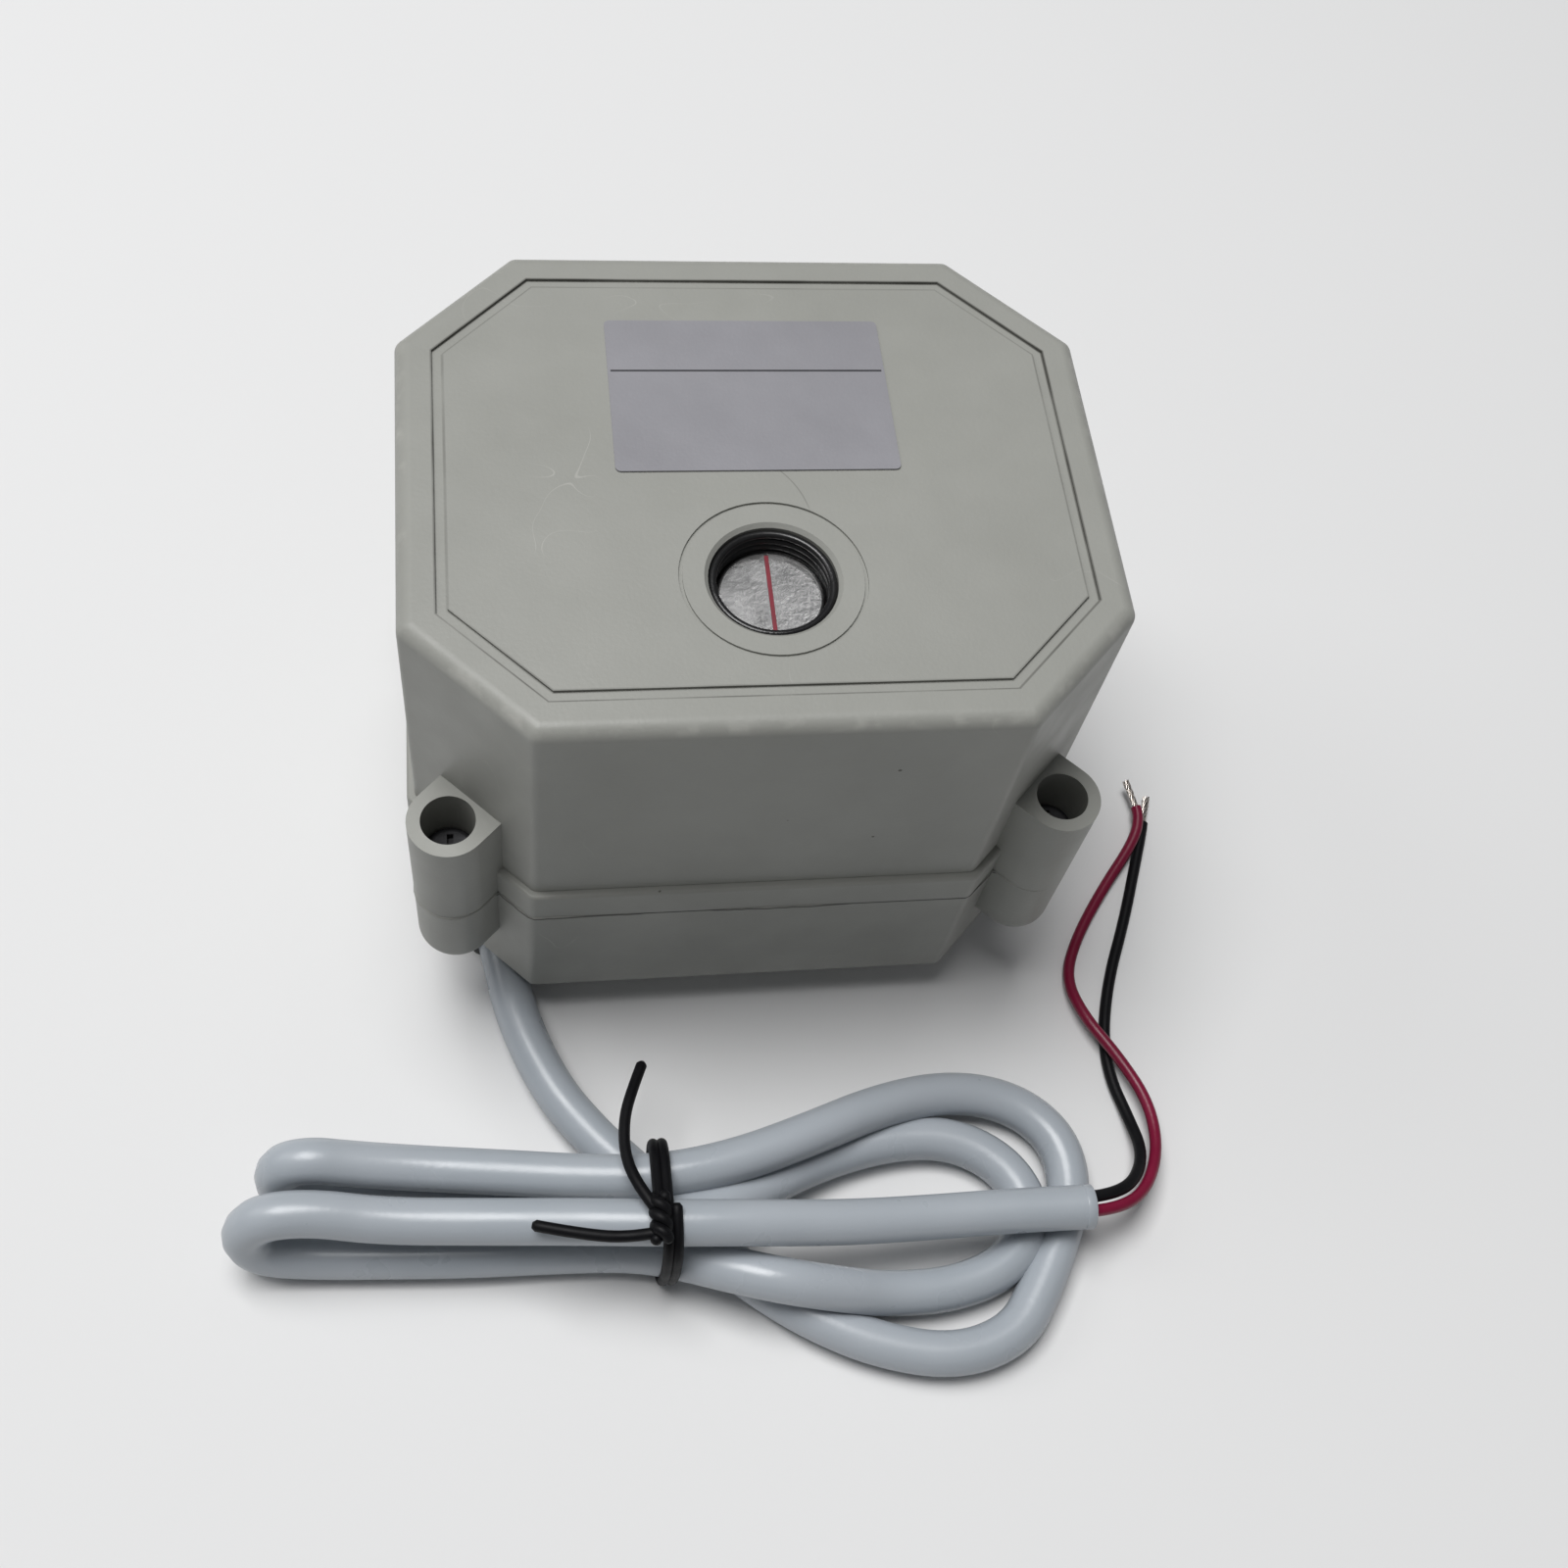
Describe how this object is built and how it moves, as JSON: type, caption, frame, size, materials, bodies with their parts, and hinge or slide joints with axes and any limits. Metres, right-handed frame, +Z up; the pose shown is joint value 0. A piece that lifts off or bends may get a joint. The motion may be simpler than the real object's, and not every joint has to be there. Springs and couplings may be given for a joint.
{
  "type": "motorized valve actuator",
  "caption": "Quarter-turn electric valve actuator: octagonal two-part casing, position window, geared motor drive and a tied two-wire cable.",
  "frame": {"origin": "centre of the housing's underside, on the mounting face", "axes": "+Z up along the output shaft, +Y to the back, +X to the right seen from the window side"},
  "size_m": [0.1167, 0.1089, 0.0612],
  "materials": {
    "casing_plastic": "moulded, fine satin",
    "label_foil": "printed foil, satin",
    "black_rubber": "smooth, glossy where wet with grease",
    "nickel_steel": "nickel plated, turned",
    "red_paint": "paint in a groove",
    "zinc_steel": "zinc plated",
    "brass": "machined",
    "bronze": "sintered bearing bronze",
    "gear_plastic": "acetal",
    "dark_plastic": "glass-filled nylon",
    "magnet": "ferrite",
    "board_green": "solder resist",
    "relay_blue": "moulded",
    "capacitor_sleeve": "shrink sleeve",
    "cable_sheath": "soft PVC",
    "red_sheath": "soft PVC",
    "black_sheath": "soft PVC",
    "tinned_copper": "tinned strands"
  },
  "bodies": {
    "housing": {"upper_casing": "casing_plastic", "base_housing": "casing_plastic", "casing_gasket": "black_rubber", "casing_screws": "zinc_steel", "nameplate": "label_foil", "mounting_inserts": "brass", "upper_bush": "bronze", "window_seals": "black_rubber", "lower_bush": "bronze", "base_seal": "black_rubber", "thrust_washer": "bronze", "second_arbor": "zinc_steel", "first_arbor": "zinc_steel", "lower_gear_plate": "zinc_steel", "upper_gear_plate": "zinc_steel", "plate_pillars": "zinc_steel", "plate_screws": "zinc_steel", "motor_can": "zinc_steel", "motor_magnets": "magnet", "motor_end_cap": "dark_plastic", "motor_terminals": "brass", "motor_screws": "zinc_steel", "lower_limit_switch": "dark_plastic", "upper_limit_switch": "dark_plastic", "switch_terminals": "brass", "switch_spacers": "zinc_steel", "switch_screws": "zinc_steel", "circuit_board": "board_green", "relay": "relay_blue", "capacitors": "capacitor_sleeve", "terminal_block": "relay_blue", "cable_grommet": "black_rubber", "cable_lead": "cable_sheath", "cable_hank": "cable_sheath", "twist_tie": "black_sheath", "red_wire": "red_sheath", "black_wire": "black_sheath", "red_wire_core": "tinned_copper", "black_wire_core": "tinned_copper"},
    "output": {"output_shaft": "nickel_steel", "position_mark": "red_paint", "gear_drive_pin": "zinc_steel", "retaining_clip": "zinc_steel", "output_gear": "brass", "lower_cam": "gear_plastic", "upper_cam": "gear_plastic", "cam_set_screws": "zinc_steel"},
    "second_stage": {"second_gear": "gear_plastic"},
    "first_stage": {"first_gear": "gear_plastic"},
    "rotor": {"motor_armature": "zinc_steel", "motor_pinion": "brass"},
    "lower_plunger": {"lower_switch_plunger": "red_paint"},
    "upper_plunger": {"upper_switch_plunger": "red_paint"}
  },
  "joints": [
    {"name": "output_turn", "type": "hinge", "parent": "housing", "child": "output", "pos_m": [0, -0.013, 0.02], "axis": [0, 0, 1], "range_deg": [0, 90]},
    {"name": "second_spin", "type": "hinge", "parent": "housing", "child": "second_stage", "pos_m": [0.01287, -0.0022, 0.02], "axis": [0, 0, 1], "range_deg": [-331, 0]},
    {"name": "first_spin", "type": "hinge", "parent": "housing", "child": "first_stage", "pos_m": [0.00368, 0.00551, 0.02], "axis": [0, 0, 1], "range_deg": [0, 991]},
    {"name": "rotor_spin", "type": "hinge", "parent": "housing", "child": "rotor", "pos_m": [-0.00821, 0.00718, 0.02], "axis": [0, 0, 1], "range_deg": [-2971, 0]},
    {"name": "lower_plunger_slide", "type": "slide", "parent": "housing", "child": "lower_plunger", "axis": [1, 0, 0], "range_m": [0, 0.00061]},
    {"name": "upper_plunger_slide", "type": "slide", "parent": "housing", "child": "upper_plunger", "axis": [1, 0, 0], "range_m": [-0.00061, 0]}
  ],
  "couplings": [
    {"joint": "second_spin", "follows": "output_turn", "ratio": -3.6667},
    {"joint": "first_spin", "follows": "output_turn", "ratio": 11},
    {"joint": "rotor_spin", "follows": "output_turn", "ratio": -33},
    {"joint": "lower_plunger_slide", "follows": "output_turn", "m_per_rad": 0.00038197},
    {"joint": "upper_plunger_slide", "follows": "output_turn", "m_per_rad": -0.00038197}
  ]
}
